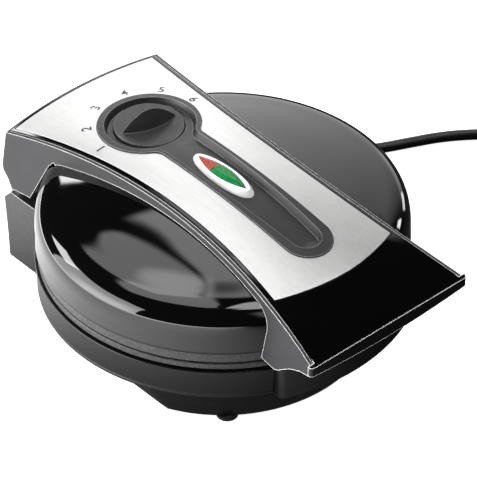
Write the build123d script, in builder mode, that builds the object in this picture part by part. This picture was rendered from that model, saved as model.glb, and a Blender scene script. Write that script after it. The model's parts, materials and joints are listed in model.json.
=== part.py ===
from build123d import *
import math
import os

os.makedirs("parts", exist_ok=True)

# Heart waffle maker. Millimetres, +Z up, handle towards -Y, hinge at +Y.
# Z = 0 is the surface that the feet stand on. The round body's own axis lies
# CY behind the middle of the object's length.

# ---------------------------------------------------------------- dimensions
CY = 3.5                 # round axis, behind the middle of the length
FRONT = -137.5           # handle front edge, from the round axis
RIM_R = 107.5            # lid rim radius
LID_Z = 66.0             # lid rim, lower edge
PLATE_R = 106.0          # cast plates, outer radius
PART_LOW = 58.2          # lower plate, upper face
PART_HIGH = 59.2         # upper plate, lower face
RING_TOP = 53.4          # base ring, upper edge
RING_LOW = 33.8          # base ring, lower edge
WALL = 2.4               # moulded wall
TRIM_T = 0.8             # steel trim plate thickness
HINGE_Y, HINGE_Z = 119.5, 56.8
PIN_R = 2.5
KNOB_Y = 63.2
KNOB_R = 20.6
KNOB_TOP = 107.6
KNOB_ANGLE = 167.1       # grip blade, degrees from +X
RECESS_R = 30.2
TROUGH_W = 15.3
TROUGH_FRONT = -84.6
LENS_Y = 0.0
HEARTS = 5
CORD_R = 3.4
OUT_Y, OUT_Z = 97.0, 15.5          # cord outlet, right side of the rear block
SLEEVE_END = 88.6
FOOT_X, FOOT_Y, FOOT_R = 53.0, 63.0, 6.25

POSTS = [(44.7, 61.5), (-44.7, 61.5), (0, -76.0)]   # plate fixings
BRIDGE_FIX = [(34.0, 40.0), (-34.0, 40.0), (34.0, -30.0), (-34.0, -30.0)]

TABLE = Axis((0, CY, 0), (0, 0, 1))


def level(h):
    """Horizontal plane at height h, centred on the round axis."""
    return Plane(origin=(0, CY, h))


def side(x):
    """Plane across the object at x; its local axes are (y, z)."""
    return Plane(origin=(x, CY, 0), x_dir=(0, 1, 0), z_dir=(1, 0, 0))


def facing(y):
    """Plane facing the handle at y; its local axes are (x, z)."""
    return Plane(origin=(0, CY + y, 0), x_dir=(1, 0, 0), z_dir=(0, -1, 0))


def finish(piece, name):
    piece.part.label = name
    export_step(piece.part, f"parts/{name}.step")


# ------------------------------------------------- the bridge's crowned top
def waist(y):
    """Half-width of the steel plate."""
    return 36.99 + 549.1 - math.sqrt(549.1**2 - (y + 6.73) ** 2)


def ridge(y):
    """Height of the steel plate's side edge."""
    return 108.284 - 541.18 + math.sqrt(541.18**2 - (y - 19.53) ** 2)


def top_z(x, y):
    t = min(max((y + 137.5) / 45.5, 0), 1)
    crown = 3.0 * t * t * (3 - 2 * t)
    return ridge(y) + crown * (1 - (x / waist(y)) ** 2)


def under_top(dz):
    """Everything below the crowned top, which is raised by dz."""
    rows = []
    for j in range(27):
        y = -148 + 11.0 * j
        rows.append(
            [Vector(x, CY + y, top_z(x, y) + dz) for x in range(-72, 73, 12)]
        )
    sheet = Face.make_surface_from_array_of_points(rows, tol=0.005)
    return Solid.extrude(sheet, Vector(0, 0, -80))


def corner(off, r):
    """Where a waisted side meets the back arc of radius r."""
    y = 120.0
    for _ in range(20):
        y = BACK_C + math.sqrt(r * r - (waist(y) + off) ** 2)
    return waist(y) + off, y


BACK_C = -279.5          # centre of the back edge's shallow arc


def waisted(off, front, back_r, front_apex=None):
    """Waisted plan with a shallow arc at the back."""
    xb, yb = corner(off, back_r)
    xf = waist(front) + off
    xm = waist(10) + off
    with BuildLine() as plan:
        ThreePointArc((xf, front), (xm, 10), (xb, yb))
        ThreePointArc((xb, yb), (0, BACK_C + back_r), (-xb, yb))
        ThreePointArc((-xb, yb), (-xm, 10), (-xf, front))
        if front_apex is None:
            Line((-xf, front), (xf, front))
        else:
            ThreePointArc((-xf, front), (0, front_apex), (xf, front))
    make_face(plan.edges())


def keyhole(grow):
    """Knob recess and trough in one outline."""
    with Locations((0, 63)):
        Circle(RECESS_R + grow)
    with Locations((0, (40 + TROUGH_FRONT + TROUGH_W) / 2)):
        Rectangle(2 * (TROUGH_W + grow), 40 - TROUGH_FRONT - TROUGH_W)
    with Locations((0, TROUGH_FRONT + TROUGH_W)):
        Circle(TROUGH_W + grow)


def neck(sketch, grow):
    """The two inner corners where the trough meets the recess."""
    near = [
        v
        for v in sketch.vertices()
        if abs(abs(v.X) - TROUGH_W - grow) < 0.3 and v.Y > CY + 20
    ]
    return near


def leaf(half_len, half_wid, y):
    """Two crossed circles whose overlap is a pointed leaf; radius, offset."""
    r = (half_len**2 + half_wid**2) / (2 * half_wid)
    return r, r - half_wid


# Bridge envelope: drafted sides, front, and open at the back.
def draft(y):
    if y < 20:
        return 0.176
    return 0.176 - 0.086 * min((y - 20) / 100, 1)


def bridge_prism(inset, front, back):
    ys = [front, -115, -92, -60, -25, 10, 45, 80, 105, back]
    with BuildPart() as prism:
        for z in (56.0, 116.0):
            with BuildSketch(level(z)):
                with BuildLine():
                    right = [
                        (waist(y) + 5 - inset + draft(y) * (ridge(y) - z), y)
                        for y in ys
                    ]
                    left = [(-x, y) for x, y in reversed(right)]
                    Spline(*right)
                    Line(right[-1], left[0])
                    Spline(*left)
                    Line(left[-1], right[0])
                make_face()
        loft(ruled=True)
    return prism.part


DOME = [
    (107.1, 79), (105.6, 85.6), (102.6, 89.4), (98, 92.1), (90, 94.2),
    (80, 96.3), (70, 98.2), (60, 99.8), (42, 102.2), (20, 104), (0, 104.5),
]


def dome_z(r):
    """Height of the lid's outer surface at radius r."""
    for (r1, z1), (r2, z2) in zip(DOME, DOME[1:]):
        if r2 <= r <= r1:
            return z1 + (z2 - z1) * (r1 - r) / (r1 - r2)
    return DOME[0][1]


def dome_solid(grow):
    """Solid lid shape, grown outwards by grow."""
    with BuildPart() as dome:
        with BuildSketch(facing(0)):
            with BuildLine():
                pts = []
                for i, (r, z) in enumerate(DOME):
                    a = DOME[max(i - 1, 0)]
                    b = DOME[min(i + 1, len(DOME) - 1)]
                    tr, tz = b[0] - a[0], b[1] - a[1]
                    n = math.hypot(tr, tz)
                    nr, nz = tz / n, -tr / n
                    if i == 0:
                        nr, nz = 1.0, 0.0
                    if i == len(DOME) - 1:
                        nr, nz = 0.0, 1.0
                    pts.append((r + grow * nr, z + grow * nz))
                low = LID_Z - 8 if grow > 0 else LID_Z - 1
                Line((0, low), (RIM_R + grow, low))
                Line((RIM_R + grow, low), (RIM_R + grow, LID_Z))
                Line((RIM_R + grow, LID_Z), pts[0])
                Spline(*pts[:9])
                ThreePointArc(pts[8], (21, 103.92 + grow), pts[-1])
                Line(pts[-1], (0, low))
            make_face()
        revolve(axis=TABLE)
    return dome.part


TOP = under_top(0)
FRAME_FLOOR = under_top(-3.0)
DOME_OUT = dome_solid(0)
DOME_CLEAR = dome_solid(0.25)
DOME_COVER = dome_solid(0.4)
DOME_SKIN = dome_solid(-1.2)
DOME_IN = dome_solid(-2.3)
BRIDGE_OUT = bridge_prism(0, -150, 135)
BRIDGE_IN = bridge_prism(2.1, -150, 135)
COVER_PRISM = bridge_prism(2.4, -150, 135)

# ------------------------------------------------------------------ lid side
with BuildPart() as dome_posts:
    with BuildSketch(level(PART_HIGH + 20.0)):
        with Locations(*POSTS):
            Circle(4.2)
    extrude(amount=30)
    add(DOME_SKIN, mode=Mode.INTERSECT)
    with BuildSketch(level(PART_HIGH + 20.0)):
        with Locations(*POSTS):
            Circle(1.6)
    extrude(amount=8, mode=Mode.SUBTRACT)

with BuildPart() as lid_dome:
    add(DOME_OUT)
    with BuildSketch(level(LID_Z - 12)):
        Circle(150)
    extrude(amount=12, mode=Mode.SUBTRACT)
    add(DOME_IN, mode=Mode.SUBTRACT)
    # opening under the bridge for thermostat and lamps
    with BuildSketch(level(85)):
        with Locations((0, 10)):
            RectangleRounded(58, 156, 8)
    extrude(amount=30, mode=Mode.SUBTRACT)
    # holes of the screws that hold the bridge
    with BuildSketch(level(85)):
        with Locations(*BRIDGE_FIX):
            Circle(1.8)
    extrude(amount=30, mode=Mode.SUBTRACT)
    # posts down to the plate's fixings
    add(dome_posts.part)
finish(lid_dome, "lid_dome")

# Side view of the bridge: what lies above the underside, less the part
# behind the rear legs' slanted front edge.
with BuildPart() as bridge_side:
    with BuildSketch(side(-80)):
        with BuildLine():
            Polyline(
                (-150, 118), (-150, 79.6), (-137.5, 79.0), (-127, 76.3),
                (-118, 71.9), (-112, 67.4), (-108, 64.3), (-104.5, 63.0),
                (-88, 63.0), (-70, 80), (80, 80), (87.5, 92.5), (91, 88.5),
                (103.5, 60.5), (150, 60.5), (150, 118), (-150, 118),
            )
        make_face()
    extrude(amount=160)

# Rear face: slightly raked, bulged in plan, drawn on the middle plane and
# turned about the centre of the back edge's arc.
with BuildPart() as rear_turn:
    with BuildSketch(side(0)):
        with BuildLine():
            Polyline(
                (-200, 50), (-200, 125), (126.9, 125), (127.4, 98),
                (129.2, 76), (129.3, 74), (128.4, 71), (124.9, 66.3),
                (121.6, 60.0), (121, 50), (-200, 50),
            )
        make_face()
    revolve(
        axis=Axis((0, CY + BACK_C, 0), (0, 0, 1)), revolution_arc=44
    )
    mirror(about=Plane.YZ)

ENVELOPE_TOP = under_top(-0.55)

with BuildPart() as bridge_envelope:
    add(BRIDGE_OUT)
    add(bridge_side.part, mode=Mode.INTERSECT)
    add(rear_turn.part, mode=Mode.INTERSECT)
    add(DOME_CLEAR, mode=Mode.SUBTRACT)

# the bay between the walls, open at the top
with BuildPart() as bay:
    with BuildSketch(side(0)):
        with BuildLine():
            Polyline(
                (-200, 118), (-200, 50), (100.0, 50), (106, 64.5),
                (123.4, 64.5), (126.7, 72), (126.8, 75), (125.6, 97),
                (125.6, 118), (-200, 118),
            )
        make_face()
    revolve(
        axis=Axis((0, CY + BACK_C, 0), (0, 0, 1)), revolution_arc=44
    )
    mirror(about=Plane.YZ)
    add(BRIDGE_IN, mode=Mode.INTERSECT)

# hinge barrels: the lid's knuckle between two knuckles of the base
UP_KNUCKLE = (40.4, 47.6)
LOW_KNUCKLES = ((33.5, 40.0), (48.0, 54.5))
BARREL_R = 5.0

with BuildPart() as bridge_housing:
    add(bridge_envelope.part)
    add(ENVELOPE_TOP, mode=Mode.INTERSECT)
    # the handle's front belongs to the frame
    with BuildSketch(level(40)):
        with Locations((0, -150)):
            Rectangle(200, 2 * (150 + FRONT + 2.9))
    extrude(amount=90, mode=Mode.SUBTRACT)
    add(bay.part, mode=Mode.SUBTRACT)
    for s in (1, -1):
        # lid knuckle hangs from the rear block's floor
        with BuildSketch(side(s * 44 - 3.6)):
            with Locations((HINGE_Y, HINGE_Z)):
                Circle(BARREL_R)
            with Locations((HINGE_Y - 0.6, HINGE_Z + 4.6)):
                Rectangle(8.0, 9.2)
        extrude(amount=7.2)
    # clear pockets round the base's knuckles
    for s in (1, -1):
        for a, b in LOW_KNUCKLES:
            mid = s * (a + b) / 2
            with BuildSketch(side(mid - (b - a) / 2 - 0.5)):
                with Locations((HINGE_Y, HINGE_Z)):
                    Circle(BARREL_R + 0.6)
            extrude(amount=b - a + 1.0, mode=Mode.SUBTRACT)
        with BuildSketch(side(s * 44 - 6)):
            with Locations((HINGE_Y, HINGE_Z)):
                Circle(PIN_R + 0.05)
        extrude(amount=12, mode=Mode.SUBTRACT)
finish(bridge_housing, "bridge_housing")

# gloss frame: floor under the steel plate, bead round it, handle top, skirt
with BuildPart() as under_floor:
    with BuildSketch(level(60)):
        Rectangle(200, 2 * (-FRONT - 2.6))
    extrude(amount=60)
    add(FRAME_FLOOR, mode=Mode.INTERSECT)

with BuildPart() as frame_seat:
    with BuildSketch(level(60)):
        waisted(0.7, -92.1, 404.2, -101.3)
    extrude(amount=60)
    add(under_top(-TRIM_T - 0.1), mode=Mode.SUBTRACT)

with BuildPart() as frame_bosses:
    for x, y in BRIDGE_FIX:
        with BuildSketch(level(98)):
            with Locations((x, y)):
                Circle(3.2)
        extrude(amount=top_z(x, y) - 2.0 - 98)
    add(DOME_CLEAR, mode=Mode.SUBTRACT)

with BuildPart() as top_frame:
    with BuildSketch(level(60)):
        waisted(2.5, FRONT + 2.6, 404.9)
    extrude(amount=60)
    with BuildSketch(level(60)):
        with BuildLine():
            w = waist(FRONT) + 5 + 1.2
            r, q = 2.2, 2.2 * (1 - math.cos(math.pi / 4))
            Line((-w, FRONT + 2.6), (-w, FRONT + r))
            ThreePointArc((-w, FRONT + r), (-w + q, FRONT + q), (-w + r, FRONT))
            Line((-w + r, FRONT), (w - r, FRONT))
            ThreePointArc((w - r, FRONT), (w - q, FRONT + q), (w, FRONT + r))
            Line((w, FRONT + r), (w, FRONT + 2.6))
            Line((w, FRONT + 2.6), (-w, FRONT + 2.6))
        make_face()
    extrude(amount=60)
    add(TOP, mode=Mode.INTERSECT)
    add(under_floor.part, mode=Mode.SUBTRACT)
    # skirt's lower edge, bowed: lowest in the middle
    with BuildSketch(facing(FRONT - 5)):
        with BuildLine():
            ThreePointArc((-70, 80.5), (0, 76.2), (70, 80.5))
            Polyline((70, 80.5), (70, 40), (-70, 40), (-70, 80.5))
        make_face()
    extrude(amount=-20, mode=Mode.SUBTRACT)
    # seat of the steel plate
    add(frame_seat.part, mode=Mode.SUBTRACT)
    # bosses down to the lid for the bridge's screws
    add(frame_bosses.part)
    for x, y in BRIDGE_FIX:
        with BuildSketch(level(98)):
            with Locations((x, y)):
                Circle(1.45)
        extrude(amount=top_z(x, y) - 1.9 - 98, mode=Mode.SUBTRACT)
    with BuildSketch(level(60)) as hole:
        keyhole(0.2)
        fillet(neck(hole, 0.2), 8)
    extrude(amount=60, mode=Mode.SUBTRACT)
finish(top_frame, "top_frame")

with BuildPart() as steel_trim_plate:
    with BuildSketch(level(60)):
        waisted(0, -91.5, 403.5, -100.5)
    extrude(amount=60)
    add(TOP, mode=Mode.INTERSECT)
    add(under_top(-TRIM_T), mode=Mode.SUBTRACT)
    with BuildSketch(level(60)) as hole:
        keyhole(0.2)
        fillet(neck(hole, 0.2), 8)
    extrude(amount=60, mode=Mode.SUBTRACT)
finish(steel_trim_plate, "steel_trim_plate")

# control insert: raised rim, sloping inner wall, crowned floor, knob well
LENS_R, LENS_C = leaf(20.1, 4.7, LENS_Y)
with BuildPart() as dish:
    with BuildSketch(level(114)) as inner:
        keyhole(-1.2)
        fillet(neck(inner, -1.2), 7)
    extrude(amount=-14, taper=26)
    add(under_top(-3.6), mode=Mode.SUBTRACT)

with BuildPart() as window:
    with BuildSketch(level(90)):
        with Locations((LENS_C, LENS_Y)):
            Circle(LENS_R + 0.15)
    extrude(amount=30)
    with BuildSketch(level(90)):
        with Locations((-LENS_C, LENS_Y)):
            Circle(LENS_R + 0.15)
    extrude(amount=30, mode=Mode.INTERSECT)

with BuildPart() as control_trough:
    with BuildSketch(level(60)) as outline:
        keyhole(0)
        fillet(neck(outline, 0), 8)
    extrude(amount=60)
    add(under_top(0.7), mode=Mode.INTERSECT)
    add(under_top(-5.4), mode=Mode.SUBTRACT)
    add(dish.part, mode=Mode.SUBTRACT)
    # well for the knob, with a bush for its shaft
    with BuildSketch(level(99.6)):
        with Locations((0, KNOB_Y)):
            Circle(KNOB_R + 2.4)
    extrude(amount=5.2)
    with BuildSketch(level(101.6)):
        with Locations((0, KNOB_Y)):
            Circle(KNOB_R + 0.6)
    extrude(amount=20, mode=Mode.SUBTRACT)
    with BuildSketch(level(95)):
        with Locations((0, KNOB_Y)):
            Circle(6.2)
    extrude(amount=7.2)
    with BuildSketch(level(90)):
        with Locations((0, KNOB_Y)):
            Circle(3.3)
    extrude(amount=30, mode=Mode.SUBTRACT)
    # window under the lenses
    add(window.part, mode=Mode.SUBTRACT)
finish(control_trough, "control_trough")

# oval bezel with sloping flanks round the leaf-shaped lenses
FLOOR = under_top(-3.6)
with BuildPart() as indicator_bezel:
    with BuildSketch(level(105.6)):
        with Locations((0, LENS_Y)):
            Ellipse(9.1, 25.2)
    with BuildSketch(level(109.5)):
        with Locations((0, LENS_Y)):
            Ellipse(6.1, 22.2)
    loft(ruled=True)
    add(FLOOR, mode=Mode.SUBTRACT)
    add(window.part, mode=Mode.SUBTRACT)
finish(indicator_bezel, "indicator_bezel")

with BuildPart() as lens_flank:
    with BuildSketch(level(103.0)):
        with Locations((-LENS_C, LENS_Y)):
            Circle(LENS_R)
    extrude(amount=6.2)
    with BuildSketch(level(109.2)):
        with Locations((-LENS_C, LENS_Y)):
            Circle(LENS_R)
    extrude(amount=1.3, taper=66)

for name, low, high in (("red_lens", 5.6, 30), ("green_lens", -30, 5.4)):
    with BuildPart() as lens:
        with BuildSketch(level(103.0)):
            with Locations((LENS_C, LENS_Y)):
                Circle(LENS_R)
        extrude(amount=6.2)
        with BuildSketch(level(109.2)):
            with Locations((LENS_C, LENS_Y)):
                Circle(LENS_R)
        extrude(amount=1.3, taper=66)
        add(lens_flank.part, mode=Mode.INTERSECT)
        with BuildSketch(level(100)):
            with Locations((0, (low + high) / 2)):
                Rectangle(40, high - low)
        extrude(amount=20, mode=Mode.INTERSECT)
    finish(lens, name)

with BuildPart() as indicator_lamps:
    for y in (12.5, -7.0):
        with BuildSketch(level(92.4)):
            with Locations((0, y)):
                Circle(2.4)
        extrude(amount=9.6)
finish(indicator_lamps, "indicator_lamps")

with BuildPart() as lamp_holder:
    with BuildSketch(level(90.8)):
        with Locations((0, 2.5)):
            RectangleRounded(20, 46, 2)
    extrude(amount=1.6)
    with BuildSketch(level(92.4)):
        with Locations((7.5, 22), (-7.5, 22), (7.5, -17), (-7.5, -17)):
            Circle(2.2)
    extrude(amount=12.6)
    add(under_top(-5.4), mode=Mode.INTERSECT)
finish(lamp_holder, "lamp_holder")

# knob: disc with a leaf-shaped grip blade whose ridge is an arch
BLADE_R, BLADE_C = leaf(18.3, 5.3, 0)
blade_plane = Plane(
    origin=(0, CY + KNOB_Y, KNOB_TOP - 0.6),
    x_dir=(math.cos(math.radians(KNOB_ANGLE)), math.sin(math.radians(KNOB_ANGLE)), 0),
    z_dir=(0, 0, 1),
)
with BuildPart() as blade_flank:
    with BuildSketch(blade_plane):
        with Locations((0, -BLADE_C)):
            Circle(BLADE_R)
    extrude(amount=12, taper=24.7)

with BuildPart() as blade:
    with BuildSketch(blade_plane):
        with Locations((0, BLADE_C)):
            Circle(BLADE_R)
    extrude(amount=12, taper=24.7)
    add(blade_flank.part, mode=Mode.INTERSECT)

with BuildPart() as thermostat_knob:
    with BuildSketch(level(102.4)):
        with Locations((0, KNOB_Y)):
            Circle(KNOB_R)
    extrude(amount=KNOB_TOP - 102.4)
    chamfer(thermostat_knob.edges().filter_by(GeomType.CIRCLE).sort_by(Axis.Z)[-1], 0.5)
    add(blade.part)
    # bore for the shaft and its clip
    with BuildSketch(level(100)):
        with Locations((0, KNOB_Y)):
            Circle(3.6)
    extrude(amount=7.0, mode=Mode.SUBTRACT)
finish(thermostat_knob, "thermostat_knob")

with BuildPart() as knob_clip:
    with BuildSketch(level(102.8)):
        with Locations((0, KNOB_Y)):
            Circle(3.55)
            Circle(3.05, mode=Mode.SUBTRACT)
            Rectangle(20, 3.0, mode=Mode.SUBTRACT)
    extrude(amount=3.6)
finish(knob_clip, "knob_clip")

with BuildPart() as thermostat_shaft:
    with BuildSketch(level(90.3)):
        with Locations((0, KNOB_Y)):
            Circle(3.0)
    extrude(amount=16.2)
    with BuildSketch(level(102.4)):
        with Locations((0, KNOB_Y - 3.6)):
            Rectangle(10, 3.4)
    extrude(amount=5, mode=Mode.SUBTRACT)
finish(thermostat_shaft, "thermostat_shaft")

with BuildPart() as thermostat_body:
    with BuildSketch(level(76.0)):
        with Locations((0, KNOB_Y)):
            RectangleRounded(24, 34, 2)
    extrude(amount=11.5)
    with BuildSketch(level(87.5)):
        with Locations((0, KNOB_Y)):
            Circle(6)
    extrude(amount=2.5)
    with BuildSketch(level(80)):
        with Locations((16.5, KNOB_Y - 8), (16.5, KNOB_Y + 8)):
            Rectangle(9, 6.3)
    extrude(amount=0.8)
finish(thermostat_body, "thermostat_body")

with BuildPart() as thermostat_bracket:
    with BuildSketch(facing(KNOB_Y - 10)):
        with BuildLine():
            Polyline(
                (-24, 71.4), (-13.4, 71.4), (-13.4, 74.8), (13.4, 74.8),
                (13.4, 71.4), (24, 71.4), (24, 72.6), (14.6, 72.6),
                (14.6, 76.0), (-14.6, 76.0), (-14.6, 72.6), (-24, 72.6),
                (-24, 71.4),
            )
        make_face()
    extrude(amount=-20)
finish(thermostat_bracket, "thermostat_bracket")


# ------------------------------------------------------------ cooking plates
HC, HY, HR = 70.0, 18.8, 22.0     # heart lobes: centre and radius
TIP = 13.0


def heart(inset):
    """Heart outline, point inwards, along the local X axis."""
    r = HR - inset
    tip = TIP + inset * 1.55
    dx, dy = HC - tip, HY
    d = math.hypot(dx, dy)
    reach = math.sqrt(d * d - r * r)
    ang = math.atan2(dy, dx) + math.asin(r / d)
    tx, ty = tip + reach * math.cos(ang), reach * math.sin(ang)
    cleft = HC + math.sqrt(r * r - HY * HY)
    mx, my = HC + r * math.cos(0.9), HY + r * math.sin(0.9)
    with BuildLine() as outline:
        Line((tip, 0), (tx, ty))
        ThreePointArc((tx, ty), (mx, my), (cleft, 0))
        ThreePointArc((cleft, 0), (mx, -my), (tx, -ty))
        Line((tx, -ty), (tip, 0))
    make_face(outline.edges())


def in_heart(x, y, edge):
    if math.hypot(x - HC, abs(y) - HY) < HR - edge:
        return True
    slope = math.radians(39.5)
    return x < HC and (x - TIP) * math.sin(slope) - abs(y) * math.cos(slope) > edge


PITCH = 13.2
STUDS = [
    (27.5 + PITCH * i, PITCH * j)
    for i in range(6)
    for j in range(-3, 4)
    if in_heart(27.5 + PITCH * i, PITCH * j, 6.3)
]
POCKET = 9.0
STUD_H = 4.2


def waffle_plate(plane_at, down):
    """Cast plate: flange, slab, five heart pockets with studs, gutter."""
    sgn = -1 if down else 1
    with BuildPart() as plate:
        face = plane_at
        with BuildSketch(level(face)):
            Circle(PLATE_R)
        extrude(amount=sgn * 3.9)
        if not down:
            with BuildSketch(level(face)):
                Circle(PLATE_R)
            extrude(amount=6.4)
        with BuildSketch(level(face)):
            Circle(99.0)
        extrude(amount=sgn * 12.0)
        with BuildSketch(level(face)):
            Circle(102.2)
            Circle(99.2, mode=Mode.SUBTRACT)
        extrude(amount=sgn * 1.6, mode=Mode.SUBTRACT)
        for k in range(HEARTS):
            at = level(face).rotated((0, 0, 90 + 72 * k))
            with BuildSketch(at):
                heart(0)
            with BuildSketch(at.offset(sgn * POCKET)):
                heart(1.5)
            loft(ruled=True, mode=Mode.SUBTRACT)
            with BuildSketch(at.offset(sgn * POCKET)):
                with Locations(*STUDS):
                    Rectangle(7.4, 7.4)
            extrude(amount=-sgn * STUD_H, taper=14)
        # channels between neighbouring hearts, from hub to gutter
        with BuildSketch(level(face)):
            with Locations((0, 0)):
                Circle(6.0)
        extrude(amount=sgn * 3.0, mode=Mode.SUBTRACT)
        # edges of the visible rim
        rim = [
            e
            for e in plate.edges().filter_by(GeomType.CIRCLE)
            if abs(e.radius - PLATE_R) < 0.01
        ]
        chamfer(rim, 0.45)
    return plate.part


LOW_CASTING = waffle_plate(PART_LOW, True)
UP_CASTING = waffle_plate(PART_HIGH, False)

with BuildPart() as lower_heating_plate:
    add(LOW_CASTING)
    # bosses for the screws
    with BuildSketch(level(PART_LOW - 12.0)):
        with Locations(*POSTS):
            Circle(5)
    extrude(amount=-4.0)
    with BuildSketch(level(PART_LOW - 16.0)):
        with Locations(*POSTS):
            Circle(1.6)
    extrude(amount=8, mode=Mode.SUBTRACT)
finish(lower_heating_plate, "lower_heating_plate")

with BuildPart() as upper_heating_plate:
    add(UP_CASTING)
    with BuildSketch(level(PART_HIGH + 12.0)):
        with Locations(*POSTS):
            Circle(5)
    extrude(amount=5.0)
    with BuildSketch(level(PART_HIGH + 17.0)):
        with Locations(*POSTS):
            Circle(1.6)
    extrude(amount=-8, mode=Mode.SUBTRACT)
finish(upper_heating_plate, "upper_heating_plate")


def heater(z, away, start, arc):
    """Ring of tubular heating element with its two cold ends."""
    begin = math.radians(start)
    first = Plane(
        origin=(0, CY, 0),
        x_dir=(math.cos(begin), math.sin(begin), 0),
        z_dir=(math.sin(begin), -math.cos(begin), 0),
    )
    with BuildPart() as ring:
        with BuildSketch(first):
            with Locations((62, z)):
                Circle(3.3)
        revolve(axis=TABLE, revolution_arc=arc)
        for a in (start, start + arc):
            t = math.radians(a)
            end = Plane(
                origin=(62 * math.cos(t), CY + 62 * math.sin(t), z),
                x_dir=(math.cos(t), math.sin(t), 0),
                z_dir=(0, 0, away),
            )
            with BuildSketch(end.offset(-3.3)):
                Circle(3.6)
            extrude(amount=9.0)
            with BuildSketch(end.offset(5.7)):
                Circle(1.2)
            extrude(amount=4.5)
    return ring.part


LOW_EL = PART_LOW - 12.0 - 3.35
UP_EL = PART_HIGH + 12.0 + 3.35
LOW_HEATER = heater(LOW_EL, -1, 0, 330)
UP_HEATER = heater(UP_EL, 1, 120, 300)

with BuildPart() as lower_heating_element:
    add(LOW_HEATER)
finish(lower_heating_element, "lower_heating_element")

# its gap lies under the thermostat
with BuildPart() as upper_heating_element:
    add(UP_HEATER)
finish(upper_heating_element, "upper_heating_element")

with BuildPart() as upper_reflector:
    with BuildSketch(facing(0)):
        with BuildLine():
            Polyline(
                (0, 89.0), (52, 88.2), (92, 84.0), (97.5, 75.4), (98.1, 75.8),
                (92.4, 84.6), (52, 88.8), (0, 89.6), (0, 89.0),
            )
        make_face()
    revolve(axis=TABLE)
    with BuildSketch(level(70)):
        with Locations((0, KNOB_Y)):
            Rectangle(72, 40)
        with Locations(*POSTS):
            Circle(4.7)
    extrude(amount=40, mode=Mode.SUBTRACT)
    with BuildSketch(level(70)):
        with Locations((0, 2.5)):
            Rectangle(24, 50)
    extrude(amount=40, mode=Mode.SUBTRACT)
finish(upper_reflector, "upper_reflector")

with BuildPart() as lower_reflector:
    with BuildSketch(facing(0)):
        with BuildLine():
            Polyline(
                (0, 33.0), (90, 33.0), (97.6, 43.6), (98.2, 43.2),
                (90.5, 32.4), (0, 32.4), (0, 33.0),
            )
        make_face()
    revolve(axis=TABLE)
    with BuildSketch(level(20)):
        with Locations(*POSTS):
            Circle(4.8)
        for a in (0, 330):
            t = math.radians(a)
            with Locations((62 * math.cos(t), 62 * math.sin(t))):
                Circle(5)
        with Locations((-20, 35)):
            Rectangle(46, 16)
    extrude(amount=30, mode=Mode.SUBTRACT)
finish(lower_reflector, "lower_reflector")

# ---------------------------------------------------------------- base shells
with BuildPart() as base_ring:
    with BuildSketch(facing(0)):
        with BuildLine():
            Polyline(
                (107.2, RING_TOP), (107.7, 52.9), (107.3, 46), (106.5, 36.4),
                (106.9, 35.9), (106.9, 34.6), (106.2, RING_LOW),
                (103.4, RING_LOW), (104.6, 49.6), (100.2, 49.6),
                (100.2, 51.4), (104.2, 51.4), (104.2, RING_TOP),
                (107.2, RING_TOP),
            )
        make_face()
    revolve(axis=TABLE)
finish(base_ring, "base_ring")

# flange of the lower plate rests on the ring's ledge through this spacer lip
with BuildPart() as plate_seal_ring:
    with BuildSketch(facing(0)):
        with BuildLine():
            Polyline(
                (100.4, 51.4), (103.8, 51.4), (103.8, 54.3), (100.4, 54.3),
                (100.4, 51.4),
            )
        make_face()
    revolve(axis=TABLE)
finish(plate_seal_ring, "plate_seal_ring")

with BuildPart() as pedestal_flats:
    with BuildSketch(level(2.2)):
        with BuildLine():
            ThreePointArc((75.6, -100), (76.6, 0), (75.6, 100))
            Line((75.6, 100), (-75.6, 100))
            ThreePointArc((-75.6, 100), (-76.6, 0), (-75.6, -100))
            Line((-75.6, -100), (75.6, -100))
        make_face()
    with BuildSketch(level(34)):
        with BuildLine():
            ThreePointArc((95, -120), (96, 0), (95, 120))
            Line((95, 120), (-95, 120))
            ThreePointArc((-95, 120), (-96, 0), (-95, -120))
            Line((-95, -120), (95, -120))
        make_face()
    loft(ruled=True)

with BuildPart() as inner_flats:
    with BuildSketch(level(2.2)):
        with BuildLine():
            ThreePointArc((73.2, -100), (74.2, 0), (73.2, 100))
            Line((73.2, 100), (-73.2, 100))
            ThreePointArc((-73.2, 100), (-74.2, 0), (-73.2, -100))
            Line((-73.2, -100), (73.2, -100))
        make_face()
    with BuildSketch(level(42)):
        with BuildLine():
            ThreePointArc((97.4, -120), (98.4, 0), (97.4, 120))
            Line((97.4, 120), (-97.4, 120))
            ThreePointArc((-97.4, 120), (-98.4, 0), (-97.4, -120))
            Line((-97.4, -120), (97.4, -120))
        make_face()
    loft(ruled=True)

# the pedestal's hollow, open at the top
with BuildPart() as hollow:
    with BuildSketch(facing(0)):
        with BuildLine():
            Polyline(
                (0, 4.8), (83.0, 4.8), (86.0, 6.6), (99.6, 29.4),
                (100.8, 31.2), (100.8, 40), (0, 40), (0, 4.8),
            )
        make_face()
    revolve(axis=TABLE)
    add(inner_flats.part, mode=Mode.INTERSECT)

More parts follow.
